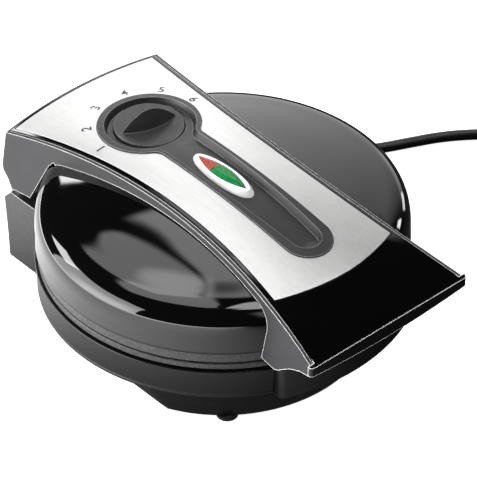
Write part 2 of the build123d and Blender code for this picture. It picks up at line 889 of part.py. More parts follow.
with BuildPart() as base_pedestal:
    with BuildSketch(facing(0)):
        with BuildLine():
            Polyline(
                (0, 2.2), (83.5, 2.2), (86.6, 3.2), (88.4, 6.0),
                (103.2, 31.0), (103.2, RING_LOW), (0, RING_LOW), (0, 2.2),
            )
        make_face()
    revolve(axis=TABLE)
    add(pedestal_flats.part, mode=Mode.INTERSECT)
    add(hollow.part, mode=Mode.SUBTRACT)
    # feet sockets, screw holes and vents in the floor
    with BuildSketch(level(0)):
        with GridLocations(2 * FOOT_X, 2 * FOOT_Y, 2, 2):
            Circle(3.0)
        with GridLocations(0.1, 10, 1, 5):
            SlotOverall(52, 4)
    extrude(amount=8, mode=Mode.SUBTRACT)
    # posts up to the lower plate's bosses
    with BuildSketch(level(3.6)):
        with Locations(*POSTS):
            Circle(4.2)
    extrude(amount=PART_LOW - 16.2 - 3.6)
    with BuildSketch(level(0)):
        with Locations(*POSTS):
            Circle(1.7)
    extrude(amount=60, mode=Mode.SUBTRACT)
    with BuildSketch(level(0)):
        with Locations(*POSTS):
            Circle(3.2)
    extrude(amount=6.6, mode=Mode.SUBTRACT)
    # window in the back wall for the mains lead
    with BuildSketch(facing(70)):
        with Locations((20, 15.5)):
            RectangleRounded(34, 11, 2)
    extrude(amount=-40, mode=Mode.SUBTRACT)
finish(base_pedestal, "base_pedestal")

with BuildPart() as rubber_feet:
    with BuildSketch(level(0)):
        with GridLocations(2 * FOOT_X, 2 * FOOT_Y, 2, 2):
            Circle(FOOT_R)
    extrude(amount=2.2)
    chamfer(rubber_feet.edges().filter_by(GeomType.CIRCLE).group_by(Axis.Z)[0], 0.5)
    with BuildSketch(level(2.2)):
        with GridLocations(2 * FOOT_X, 2 * FOOT_Y, 2, 2):
            Circle(3.0)
    extrude(amount=3.4)
finish(rubber_feet, "rubber_feet")

with BuildPart() as front_block:
    with BuildSketch(level(RING_LOW)) as front_plan:
        with BuildLine():
            ThreePointArc((-48.0, -101.8), (0, -111.5), (48.0, -101.8))
            Line((48.0, -101.8), (48.4, -80))
            Line((48.4, -80), (-48.4, -80))
            Line((-48.4, -80), (-48.0, -101.8))
        make_face()
        fillet(front_plan.vertices().group_by(Axis.Y)[0], 4.5)
    extrude(amount=23.4)
    with BuildSketch(level(RING_LOW - 1)):
        Circle(108.0)
    extrude(amount=30, mode=Mode.SUBTRACT)
    top_rim = front_block.faces().sort_by(Axis.Z)[-1].edges()
    chamfer([e for e in top_rim if e.center().Y < CY - 108.6], 1.2)
finish(front_block, "front_block")

# rear block: cord outlet, lower knuckles, slots for the lid's knuckles
with BuildPart() as block_sides:
    with BuildSketch(level(0)):
        with Locations((0, 125)):
            Rectangle(2 * 58.6, 60)
    extrude(amount=70)

with BuildPart() as block_hollow:
    with BuildSketch(side(0)):
        with BuildLine():
            Polyline(
                (-100, 9), (125.2, 9), (126.2, 24), (127.6, 46),
                (126.6, 48.6), (-100, 48.6), (-100, 9),
            )
        make_face()
    revolve(
        axis=Axis((0, CY + BACK_C, 0), (0, 0, 1)), revolution_arc=16
    )
    mirror(about=Plane.YZ)
    with BuildSketch(level(0)):
        with Locations((0, 125)):
            Rectangle(2 * 56.2, 80)
    extrude(amount=70, mode=Mode.INTERSECT)
    with BuildSketch(level(31.0)):
        Circle(110.5)
    extrude(amount=40, mode=Mode.SUBTRACT)
    with BuildSketch(level(0)):
        Circle(106.0)
    extrude(amount=31.0, mode=Mode.SUBTRACT)

# room for the lid's rear face, which swings down behind the hinge as it opens
SWING = (
    (121.0, 62), (121.0, 56.0), (121.5, 54.0), (127.5, 49.35),
    (131.4, 45.15), (137, 40.0), (137, 62), (121.0, 62),
)
with BuildPart() as lid_swing:
    with BuildSketch(side(-40)):
        with BuildLine():
            Polyline(*SWING)
        make_face()
    extrude(amount=80)

with BuildPart() as barrel_swing:
    add(lid_swing.part)
    with BuildSketch(side(-45)):
        with Locations((HINGE_Y, HINGE_Z)):
            Circle(BARREL_R)
    extrude(amount=90, mode=Mode.SUBTRACT)

with BuildPart() as hinge_block:
    with BuildSketch(side(0)):
        with BuildLine():
            Polyline(
                (-100, 6.5), (127.6, 6.5), (128.3, 8), (128.9, 24),
                (130.5, 47.5), (130.3, 49.4), (124.6, 55.4), (-100, 55.4),
                (-100, 6.5),
            )
        make_face()
    revolve(
        axis=Axis((0, CY + BACK_C, 0), (0, 0, 1)), revolution_arc=16
    )
    mirror(about=Plane.YZ)
    add(block_sides.part, mode=Mode.INTERSECT)
    # round body in front of it: the plates and the ring, then the pedestal
    with BuildSketch(level(33.4)):
        Circle(108.1)
    extrude(amount=40, mode=Mode.SUBTRACT)
    with BuildSketch(level(0)):
        Circle(103.7)
    extrude(amount=33.4, mode=Mode.SUBTRACT)
    add(block_hollow.part, mode=Mode.SUBTRACT)
    # window towards the pedestal for the mains lead
    with BuildSketch(facing(92)):
        with Locations((25, 15.5)):
            RectangleRounded(46, 11, 2)
    extrude(amount=-16, mode=Mode.SUBTRACT)
    add(lid_swing.part, mode=Mode.SUBTRACT)
    for s in (1, -1):
        for a, b in LOW_KNUCKLES:
            mid = s * (a + b) / 2
            with BuildSketch(side(mid - (b - a) / 2)):
                with Locations((HINGE_Y, HINGE_Z)):
                    Circle(BARREL_R)
                with Locations((HINGE_Y, HINGE_Z - 4.6)):
                    Rectangle(2 * BARREL_R, 9.2)
            extrude(amount=b - a)
    add(barrel_swing.part, mode=Mode.SUBTRACT)
    for s in (1, -1):
        # slot in which the lid's knuckle swings back
        with BuildSketch(side(s * 44 - 4.0)):
            with Locations((HINGE_Y + 7.4, HINGE_Z - 1.6)):
                Rectangle(26.2, 14.2)
        extrude(amount=8.0, mode=Mode.SUBTRACT)
        with BuildSketch(side(s * 44 - 10.6)):
            with Locations((HINGE_Y, HINGE_Z)):
                Circle(PIN_R)
        extrude(amount=21.2, mode=Mode.SUBTRACT)
    # cord outlet in the right side
    with BuildSketch(side(50)):
        with Locations((OUT_Y, OUT_Z)):
            Circle(5.2)
    extrude(amount=20, mode=Mode.SUBTRACT)
finish(hinge_block, "hinge_block")

with BuildPart() as hinge_pins:
    for s in (1, -1):
        with BuildSketch(side(s * 44 - 10.5)):
            with Locations((HINGE_Y, HINGE_Z)):
                Circle(PIN_R)
        extrude(amount=21.0)
finish(hinge_pins, "hinge_pins")


# --------------------------------------------------- handle's lower cover
with BuildPart() as handle_lower_cover:
    add(COVER_PRISM)
    with BuildSketch(side(-80)):
        with BuildLine():
            Polyline(
                (-134.6, 79.1), (-127, 76.6), (-118, 72.2), (-112, 67.7),
                (-108, 64.6), (-104.5, 63.3), (-88, 63.3), (-88, 65.8),
                (-104.0, 65.8), (-107, 66.9), (-111, 70.1), (-117, 74.6),
                (-126.4, 79.1), (-134.6, 81.6), (-134.6, 79.1),
            )
        make_face()
    extrude(amount=160, mode=Mode.INTERSECT)
    add(DOME_COVER, mode=Mode.SUBTRACT)
finish(handle_lower_cover, "handle_lower_cover")

# ------------------------------------------------------------- fastenings
HEX = 3.2
with BuildPart() as upper_plate_screws:
    with BuildSketch(level(PART_HIGH + 9.0)):
        with Locations(*POSTS):
            Circle(1.6)
    extrude(amount=18.9)
    with BuildSketch(level(PART_HIGH + 17.0)):
        with Locations(*POSTS):
            RegularPolygon(HEX, 6)
    extrude(amount=2.9)
finish(upper_plate_screws, "upper_plate_screws")

# driven from inside the lid, up into the frame's bosses
with BuildPart() as bridge_screws:
    for x, y in BRIDGE_FIX:
        seat_z = dome_z(math.hypot(x, y) + 2.8) - 2.4
        with BuildSketch(level(seat_z - 2.0)):
            with Locations((x, y)):
                Circle(2.8)
        extrude(amount=2.0)
        with BuildSketch(level(seat_z)):
            with Locations((x, y)):
                Circle(1.4)
        extrude(amount=top_z(x, y) - 2.3 - seat_z)
        with BuildSketch(level(seat_z - 2.1)):
            with Locations((x, y)):
                Rectangle(3.2, 0.7)
                Rectangle(0.7, 3.2)
        extrude(amount=1.2, mode=Mode.SUBTRACT)
finish(bridge_screws, "bridge_screws")

with BuildPart() as lower_plate_screws:
    with BuildSketch(level(4.0)):
        with Locations(*POSTS):
            Circle(3.1)
    extrude(amount=2.6)
    with BuildSketch(level(6.6)):
        with Locations(*POSTS):
            Circle(1.6)
    extrude(amount=PART_LOW - 8.1 - 6.6)
    with BuildSketch(level(3.9)):
        with Locations(*POSTS):
            Rectangle(4.0, 0.9)
            Rectangle(0.9, 4.0)
    extrude(amount=1.4, mode=Mode.SUBTRACT)
finish(lower_plate_screws, "lower_plate_screws")

# ------------------------------------------------- inside the base
with BuildPart() as terminal_block:
    with BuildSketch(level(4.8)):
        with Locations((10, 58)):
            RectangleRounded(34, 18, 1.5)
    extrude(amount=15.6)
    with BuildSketch(level(20.4)):
        with Locations((0, 58), (10, 58), (20, 58)):
            Circle(2.6)
    extrude(amount=-3, mode=Mode.SUBTRACT)
finish(terminal_block, "terminal_block")

with BuildPart() as terminal_screws:
    with BuildSketch(level(17.4)):
        with Locations((0, 58), (10, 58), (20, 58)):
            Circle(2.5)
    extrude(amount=2.2)
    with BuildSketch(level(19.6)):
        with Locations((0, 58), (10, 58), (20, 58)):
            Rectangle(5.2, 0.8)
    extrude(amount=-0.9, mode=Mode.SUBTRACT)
finish(terminal_screws, "terminal_screws")

with BuildPart() as cord_clamp:
    with BuildSketch(facing(73)):
        with Locations((10, 12.6)):
            RectangleRounded(20, 15.6, 2.5)
        with Locations((10, OUT_Z)):
            Circle(CORD_R + 0.02, mode=Mode.SUBTRACT)
    extrude(amount=-7)
finish(cord_clamp, "cord_clamp")

# mains lead inside the rear block, from the sleeve to the terminals
with BuildPart() as inner_lead:
    with BuildLine() as inner_path:
        FilletPolyline(
            (54.0, CY + OUT_Y, OUT_Z), (28.0, CY + 99.0, OUT_Z),
            (10.0, CY + 92.0, OUT_Z), (10.0, CY + 67.05, OUT_Z),
            radius=[30, 9.5],
        )
    with BuildSketch(Plane(origin=inner_path.wires()[0] @ 0, z_dir=inner_path.wires()[0] % 0)):
        Circle(CORD_R)
    sweep(path=inner_path.wires()[0])
finish(inner_lead, "inner_lead")

# wires from the terminals to the element's ends
WIRES = [
    [(62, 0, 32.6), (62, 0, 22), (44, 24, 12), (18, 38, 12), (18, 48.95, 12)],
    [(53.7, -31, 32.6), (53.7, -31, 20), (28, -6, 10), (2, 26, 12), (2, 48.95, 12)],
]
with BuildPart() as element_leads:
    for pts in WIRES:
        with BuildLine() as run:
            FilletPolyline(*[(x, CY + y, z) for x, y, z in pts], radius=6)
        with BuildSketch(Plane(origin=run.wires()[0] @ 0, z_dir=run.wires()[0] % 0)):
            Circle(1.1)
        sweep(path=run.wires()[0])
finish(element_leads, "element_leads")

with BuildPart() as thermal_fuse:
    with BuildSketch(level(PART_LOW - 12.05)):
        with Locations((-26, 34)):
            RectangleRounded(24, 9, 2)
    extrude(amount=-5.2)
finish(thermal_fuse, "thermal_fuse")

with BuildPart() as earth_lead:
    with BuildLine() as run:
        FilletPolyline(
            *[(x, CY + y, z) for x, y, z in
              [(-6, 36, 46.1), (-6, 36, 22), (10, 37, 16.5), (10, 48.95, 16.5)]],
            radius=4,
        )
    with BuildSketch(Plane(origin=run.wires()[0] @ 0, z_dir=run.wires()[0] % 0)):
        Circle(1.1)
    sweep(path=run.wires()[0])
finish(earth_lead, "earth_lead")

# one wire to the upper element's end, one to the lamps
LID_WIRES = [
    [(21.05, 55.2, 80.4), (25.0, 55.2, 80.4), (25.0, 54.4, 92.0), (31.0, 53.7, 92.0),
     (31.0, 53.7, 84.8)],
    [(21.05, 71.2, 80.4), (25.0, 71.2, 80.4), (25.0, 71.2, 91.6), (18.0, 64.0, 91.6),
     (18.0, 40.0, 91.6), (6.0, 34.0, 91.6), (6.0, 25.6, 91.6)],
]
with BuildPart() as thermostat_leads:
    for pts in LID_WIRES:
        with BuildLine() as run:
            FilletPolyline(*[(x, CY + y, z) for x, y, z in pts], radius=1.9)
        with BuildSketch(Plane(origin=run.wires()[0] @ 0, z_dir=run.wires()[0] % 0)):
            Circle(1.1)
        sweep(path=run.wires()[0])
finish(thermostat_leads, "thermostat_leads")

# --------------------------------------------------------- cord and plug
with BuildPart() as strain_relief:
    with BuildSketch(Plane(origin=(0, CY + OUT_Y, OUT_Z), x_dir=(1, 0, 0), z_dir=(0, -1, 0))):
        with BuildLine():
            Polyline(
                (54.0, 0), (54.0, 5.8), (56.1, 5.8), (56.1, 5.1),
                (58.7, 5.1), (58.7, 6.2), (60.6, 6.2), (SLEEVE_END, 4.2),
                (SLEEVE_END, 0), (54.0, 0),
            )
        make_face()
    revolve(axis=Axis((0, CY + OUT_Y, OUT_Z), (1, 0, 0)))
finish(strain_relief, "strain_relief")

ROUTE = [
    (SLEEVE_END, OUT_Y, OUT_Z), (105.0, 95.6, 13.4), (122.0, 88.0, 8.6),
    (139.5, 78.0, 4.9), (158.5, 66.0, 3.45), (180.5, 53.9, 3.45),
    (197.0, 46.4, 3.45), (215.0, 38.0, 3.45), (232.1, 26.3, 3.45),
    (249.6, 10.2, 3.45), (266.7, -7.3, 3.45),
]
COIL_X, COIL_Y = 296.0, 22.0


def run_lengths(points):
    return [math.dist(a, b) for a, b in zip(points, points[1:])]


def bends(points):
    """Largest tangent arc that the two runs at each corner allow."""
    out = []
    runs = run_lengths(points)
    for i in range(1, len(points) - 1):
        a = Vector(*points[i]) - Vector(*points[i - 1])
        b = Vector(*points[i + 1]) - Vector(*points[i])
        half = math.radians(a.get_angle(b)) / 2
        out.append(0.45 * min(runs[i - 1], runs[i]) / math.tan(half))
    return out


ROUTE_AT = [(x, CY + y, z) for x, y, z in ROUTE]
RADII = bends(ROUTE_AT)
print("cord radii", [round(r) for r in RADII])
with BuildPart() as power_cord:
    with BuildLine() as cord_line:
        FilletPolyline(*ROUTE_AT, radius=RADII)
    with BuildSketch(Plane(origin=cord_line.wires()[0] @ 0, z_dir=cord_line.wires()[0] % 0)):
        Circle(CORD_R)
    sweep(path=cord_line.wires()[0])
print(
    "cord tube length", round(cord_line.wires()[0].length, 1),
    "volume over section", round(power_cord.part.volume / (math.pi * CORD_R**2), 1),
)
finish(power_cord, "power_cord")

TIE_A = math.radians(100)
tie_at = Plane(
    origin=(COIL_X + 38 * math.cos(TIE_A), CY + COIL_Y + 38 * math.sin(TIE_A), 0),
    x_dir=(math.cos(TIE_A), math.sin(TIE_A), 0),
    z_dir=(math.sin(TIE_A), -math.cos(TIE_A), 0),
)
TIE_OUT = [(-7.9, 0.02), (7.9, 0.02), (7.9, 5.9), (4.0, 13.7), (-4.0, 13.7), (-7.9, 5.9)]
TIE_IN = [(-7.0, 0.7), (7.0, 0.7), (7.0, 5.6), (3.5, 12.8), (-3.5, 12.8), (-7.0, 5.6)]
with BuildPart() as cord_tie:
    # thickness runs along the coil, both ways from its middle
    with BuildSketch(tie_at.offset(-4)):
        with BuildLine():
            Polyline(*TIE_OUT, TIE_OUT[0])
        make_face()
        with BuildLine():
            Polyline(*TIE_IN, TIE_IN[0])
        make_face(mode=Mode.SUBTRACT)
    extrude(amount=8)
finish(cord_tie, "cord_tie")

with BuildPart() as cord_coil:
    with BuildSketch(Plane(origin=(COIL_X, CY + COIL_Y, 0), x_dir=(1, 0, 0), z_dir=(0, -1, 0))):
        with BuildLine():
            Polyline(
                (31.1, 0.05), (44.9, 0.05), (44.9, 5.5), (41.4, 12.7),
                (34.6, 12.7), (31.1, 5.5), (31.1, 0.05),
            )
        make_face()
    revolve(axis=Axis((COIL_X, CY + COIL_Y, 0), (0, 0, 1)))
    add(cord_tie.part, mode=Mode.SUBTRACT)
finish(cord_coil, "cord_coil")

# the cord's last stretch leaves the coil's top turn and meets the plug
TAIL_A = math.radians(-20)
tx, ty = -math.sin(TAIL_A), math.cos(TAIL_A)
tail_x, tail_y = COIL_X + 38 * math.cos(TAIL_A), CY + COIL_Y + 38 * math.sin(TAIL_A)
TAIL = [
    (tail_x + tx * 12, tail_y + ty * 12, 9.4),
    (tail_x + tx * 30, tail_y + ty * 30, 9.2),
    (tail_x + tx * 50, tail_y + ty * 50, 7.75),
]
with BuildPart() as cord_tail:
    with BuildLine() as tail_line:
        FilletPolyline(*TAIL, radius=[bends(TAIL)[0]])
    with BuildSketch(Plane(origin=tail_line.wires()[0] @ 0, z_dir=tail_line.wires()[0] % 0)):
        Circle(CORD_R)
    sweep(path=tail_line.wires()[0])
finish(cord_tail, "cord_tail")

PLUG_TILT = math.radians(15)
end_dir = tail_line.wires()[0] % 1
plug_at = Plane(
    origin=tail_line.wires()[0] @ 1,
    x_dir=(tx * math.cos(PLUG_TILT), ty * math.cos(PLUG_TILT), math.sin(PLUG_TILT)),
    z_dir=(ty, -tx, 0),
)
with BuildPart() as plug_body:
    with BuildSketch(plug_at):
        with BuildLine():
            Polyline(
                (0.95, 0), (0.95, 4.5), (14, 6.4), (16, 9.5), (28, 13.5),
                (38, 18.1), (48, 18.1), (48, 0), (0.95, 0),
            )
        make_face()
    revolve(axis=Axis(plug_at.origin, plug_at.x_dir))
    chamfer(plug_body.edges().filter_by(GeomType.CIRCLE).group_by(Axis(plug_at.origin, plug_at.x_dir))[-1], 1.2)
finish(plug_body, "plug_body")

pin_face = Plane(
    origin=plug_at.origin + plug_at.x_dir * 48,
    x_dir=plug_at.z_dir,
    z_dir=plug_at.x_dir,
)
with BuildPart() as plug_pins:
    with BuildSketch(pin_face):
        with Locations((9.5, 0), (-9.5, 0)):
            Circle(2.4)
    extrude(amount=19)
    chamfer(plug_pins.edges().filter_by(GeomType.CIRCLE).group_by(Axis(plug_at.origin, plug_at.x_dir))[-1], 0.9)
finish(plug_pins, "plug_pins")
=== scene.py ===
import json
import math

import bmesh
import bpy
import numpy as np
from mathutils import Matrix, Vector


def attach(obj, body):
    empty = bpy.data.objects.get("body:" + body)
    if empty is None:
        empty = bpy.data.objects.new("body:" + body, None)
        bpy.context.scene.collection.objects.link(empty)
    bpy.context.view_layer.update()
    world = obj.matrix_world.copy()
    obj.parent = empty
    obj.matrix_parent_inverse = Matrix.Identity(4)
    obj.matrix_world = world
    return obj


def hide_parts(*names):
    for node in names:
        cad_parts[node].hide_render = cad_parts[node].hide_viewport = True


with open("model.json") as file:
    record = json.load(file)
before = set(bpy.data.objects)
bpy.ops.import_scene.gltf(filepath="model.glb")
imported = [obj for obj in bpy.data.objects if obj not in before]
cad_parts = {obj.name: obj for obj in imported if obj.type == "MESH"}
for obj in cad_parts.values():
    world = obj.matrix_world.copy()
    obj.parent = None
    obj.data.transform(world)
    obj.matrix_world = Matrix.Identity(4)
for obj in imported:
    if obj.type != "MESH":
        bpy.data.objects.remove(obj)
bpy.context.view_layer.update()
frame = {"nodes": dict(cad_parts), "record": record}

nodes = frame["nodes"]
scene = bpy.context.scene
MM = 0.001
CY = 3.5 * MM          # the round axis lies this far behind the middle


def link(obj):
    scene.collection.objects.link(obj)
    return obj


# ------------------------------------------------------------------ camera
cam = link(bpy.data.objects.new("camera", bpy.data.cameras.new("camera")))
cam.location = (-1.0349, -1.1610, 1.3202)
look = Vector((0.52007, 0.57837, -0.62852)).normalized()
right = Vector((0.74359, -0.66864, 0.0)).normalized()
up = right.cross(look).normalized()
cam.rotation_mode = "QUATERNION"
cam.rotation_quaternion = Matrix(
    ((right.x, up.x, -look.x), (right.y, up.y, -look.y), (right.z, up.z, -look.z))
).to_quaternion()
cam.data.sensor_width = 36
cam.data.lens = 264.47
cam.data.clip_start, cam.data.clip_end = 0.05, 60
scene.camera = cam


# --------------------------------------------------------------- materials
def nodes_of(mat):
    mat.use_nodes = True
    tree = mat.node_tree
    return tree, tree.nodes["Principled BSDF"]


def place(tree):
    return tree.nodes.new("ShaderNodeTexCoord").outputs["Object"]


def stretched(tree, coords, scale):
    m = tree.nodes.new("ShaderNodeMapping")
    m.inputs["Scale"].default_value = scale
    tree.links.new(coords, m.inputs["Vector"])
    return m.outputs["Vector"]


def noise(tree, coords, scale, detail=2.0, rough=0.5):
    n = tree.nodes.new("ShaderNodeTexNoise")
    n.inputs["Scale"].default_value = scale
    n.inputs["Detail"].default_value = detail
    n.inputs["Roughness"].default_value = rough
    tree.links.new(coords, n.inputs["Vector"])
    return n.outputs["Fac"]


def between(tree, fac, a, b, lo=0.3, hi=0.7):
    r = tree.nodes.new("ShaderNodeMapRange")
    r.inputs["From Min"].default_value = lo
    r.inputs["From Max"].default_value = hi
    r.inputs["To Min"].default_value = a
    r.inputs["To Max"].default_value = b
    tree.links.new(fac, r.inputs["Value"])
    return r.outputs["Result"]


def two_colours(tree, fac, a, b, lo=0.3, hi=0.7):
    c = tree.nodes.new("ShaderNodeValToRGB")
    c.color_ramp.elements[0].position = lo
    c.color_ramp.elements[1].position = hi
    c.color_ramp.elements[0].color = (*a, 1)
    c.color_ramp.elements[1].color = (*b, 1)
    tree.links.new(fac, c.inputs["Fac"])
    return c.outputs["Color"]


def bump(tree, heights, shader):
    """heights: list of (socket, strength, distance in metres)."""
    last = None
    for fac, strength, dist in heights:
        b = tree.nodes.new("ShaderNodeBump")
        b.inputs["Strength"].default_value = strength
        b.inputs["Distance"].default_value = dist
        tree.links.new(fac, b.inputs["Height"])
        if last is not None:
            tree.links.new(last, b.inputs["Normal"])
        last = b.outputs["Normal"]
    tree.links.new(last, shader.inputs["Normal"])


def edges(tree, radius, lo=0.012, hi=0.1):
    """1 along the piece's sharp edges, 0 on its faces."""
    b = tree.nodes.new("ShaderNodeBevel")
    b.samples = 6
    b.inputs["Radius"].default_value = radius
    d = tree.nodes.new("ShaderNodeVectorMath")
    d.operation = "DOT_PRODUCT"
    tree.links.new(b.outputs["Normal"], d.inputs[0])
    tree.links.new(tree.nodes.new("ShaderNodeNewGeometry").outputs["True Normal"], d.inputs[1])
    r = tree.nodes.new("ShaderNodeMapRange")
    r.inputs["From Min"].default_value = 1 - lo
    r.inputs["From Max"].default_value = 1 - hi
    tree.links.new(d.outputs["Value"], r.inputs["Value"])
    return r.outputs["Result"]


def paint_edge_highlight(mat, radius, colour, where=None):
    """Painted highlight: a bright base colour along the edges, all over or only where the mask says."""
    tree = mat.node_tree
    sh = tree.nodes["Principled BSDF"]
    fac = edges(tree, radius)
    if where is not None:
        m = tree.nodes.new("ShaderNodeMath")
        m.operation = "MULTIPLY"
        tree.links.new(fac, m.inputs[0])
        tree.links.new(where(tree), m.inputs[1])
        fac = m.outputs[0]
    # mix the painted highlight colour into the base colour along the edges
    mix = tree.nodes.new("ShaderNodeMix")
    mix.data_type = "RGBA"
    tree.links.new(fac, mix.inputs["Factor"])
    tree.links.new(sh.inputs["Base Color"].links[0].from_socket, mix.inputs["A"])
    mix.inputs["B"].default_value = (*colour, 1)
    tree.links.new(mix.outputs["Result"], sh.inputs["Base Color"])


def front_only(tree):
    """Where the painted highlight line goes: only at the handle's very front."""
    x = tree.nodes.new("ShaderNodeSeparateXYZ")
    tree.links.new(place(tree), x.inputs[0])
    r = tree.nodes.new("ShaderNodeMapRange")
    r.inputs["From Min"].default_value = -0.1285
    r.inputs["From Max"].default_value = -0.1300
    tree.links.new(x.outputs["Y"], r.inputs["Value"])
    return r.outputs["Result"]


def shade(c, k):
    return tuple(min(1.0, x * k) for x in c)


def moulded(name, colour, rough, grain=1600, relief=0.25, depth=3e-5, spread=0.12,
            rough_by=0.05, ior=1.5, sheen=0.0):
    """Moulded plastic or rubber: fine grain, a little uneven in tone and gloss."""
    mat = bpy.data.materials.new(name)
    tree, sh = nodes_of(mat)
    at = place(tree)
    tone = noise(tree, at, 60, 3)
    tree.links.new(
        two_colours(tree, tone, shade(colour, 1 - spread), shade(colour, 1 + spread)),
        sh.inputs["Base Color"],
    )
    cloud = noise(tree, at, 220, 3)
    tree.links.new(
        between(tree, cloud, rough - rough_by, rough + rough_by), sh.inputs["Roughness"]
    )
    sh.inputs["IOR"].default_value = ior
    if sheen:
        sh.inputs["Sheen Weight"].default_value = sheen
    fine = noise(tree, at, grain, 2)
    bump(tree, [(fine, relief, depth)], sh)
    return mat


def polished(name, colour, rough=0.07, ior=1.5):
    """Polished black plastic: very slight ripple and faint wipe marks."""
    mat = bpy.data.materials.new(name)
    tree, sh = nodes_of(mat)
    at = place(tree)
    tone = noise(tree, at, 35, 2)
    tree.links.new(
        two_colours(tree, tone, shade(colour, 0.85), shade(colour, 1.15)),
        sh.inputs["Base Color"],
    )
    wipe = noise(tree, stretched(tree, at, (1, 0.25, 1)), 90, 4, 0.6)
    tree.links.new(between(tree, wipe, rough * 0.75, rough * 1.35), sh.inputs["Roughness"])
    sh.inputs["IOR"].default_value = ior
    ripple = noise(tree, at, 55, 1)
    bump(tree, [(ripple, 0.03, 1.0e-4)], sh)
    return mat


def brushed(name, colour, rough, lines=(2600, 45, 2600), relief=0.12, spread=0.05):
    mat = bpy.data.materials.new(name)
    tree, sh = nodes_of(mat)
    at = place(tree)
    streak = noise(tree, stretched(tree, at, lines), 1.0, 3, 0.6)
    speck = noise(tree, at, 900, 2)
    tree.links.new(
        two_colours(tree, streak, shade(colour, 1 - spread), shade(colour, 1 + spread)),
        sh.inputs["Base Color"],
    )
    tree.links.new(between(tree, speck, rough - 0.05, rough + 0.06), sh.inputs["Roughness"])
    sh.inputs["Metallic"].default_value = 1.0
    bump(tree, [(streak, relief, 1.2e-5)], sh)
    return mat


def coated(name, colour, rough, metal=0.0):
    """Non-stick coated casting: sparkling fine speckle and a pebbled skin."""
    mat = bpy.data.materials.new(name)
    tree, sh = nodes_of(mat)
    at = place(tree)
    v = tree.nodes.new("ShaderNodeTexVoronoi")
    v.inputs["Scale"].default_value = 1500
    tree.links.new(at, v.inputs["Vector"])
    tree.links.new(
        two_colours(tree, v.outputs["Color"], shade(colour, 0.5), shade(colour, 2.6), 0.35, 0.95),
        sh.inputs["Base Color"],
    )
    pebble = noise(tree, at, 1300, 3)
    tree.links.new(between(tree, pebble, rough - 0.08, rough + 0.1), sh.inputs["Roughness"])
    sh.inputs["Metallic"].default_value = metal
    bump(tree, [(pebble, 0.5, 6e-5), (v.outputs["Distance"], 0.3, 5e-5)], sh)
    return mat


def woven(name, colour):
    """Braided glass-fibre sleeve."""
    mat = bpy.data.materials.new(name)
    tree, sh = nodes_of(mat)
    at = place(tree)
    w = tree.nodes.new("ShaderNodeTexWave")
    w.inputs["Scale"].default_value = 420
    w.inputs["Distortion"].default_value = 2.0
    tree.links.new(at, w.inputs["Vector"])
    tree.links.new(
        two_colours(tree, w.outputs["Fac"], shade(colour, 0.7), shade(colour, 1.1), 0.1, 0.9),
        sh.inputs["Base Color"],
    )
    sh.inputs["Roughness"].default_value = 0.8
    sh.inputs["Sheen Weight"].default_value = 0.2
    bump(tree, [(w.outputs["Fac"], 0.5, 1e-4)], sh)
    return mat


def lens(name, colour, glow, cell):
    """Translucent signal lens with a pattern of small prisms inside."""
    mat = bpy.data.materials.new(name)
    tree, sh = nodes_of(mat)
    at = place(tree)
    v = tree.nodes.new("ShaderNodeTexVoronoi")
    v.inputs["Scale"].default_value = cell
    tree.links.new(at, v.inputs["Vector"])
    tree.links.new(
        two_colours(tree, v.outputs["Distance"], shade(colour, 1.25), shade(colour, 0.5), 0.1, 0.75),
        sh.inputs["Base Color"],
    )
    sh.inputs["Roughness"].default_value = 0.16
    sh.inputs["IOR"].default_value = 1.3
    sh.inputs["Subsurface Weight"].default_value = 0.15
    sh.inputs["Subsurface Radius"].default_value = (0.001, 0.001, 0.001)
    sh.inputs["Emission Color"].default_value = (*colour, 1)
    sh.inputs["Emission Strength"].default_value = glow
    bump(tree, [(v.outputs["Distance"], 0.6, 3e-4)], sh)
    return mat


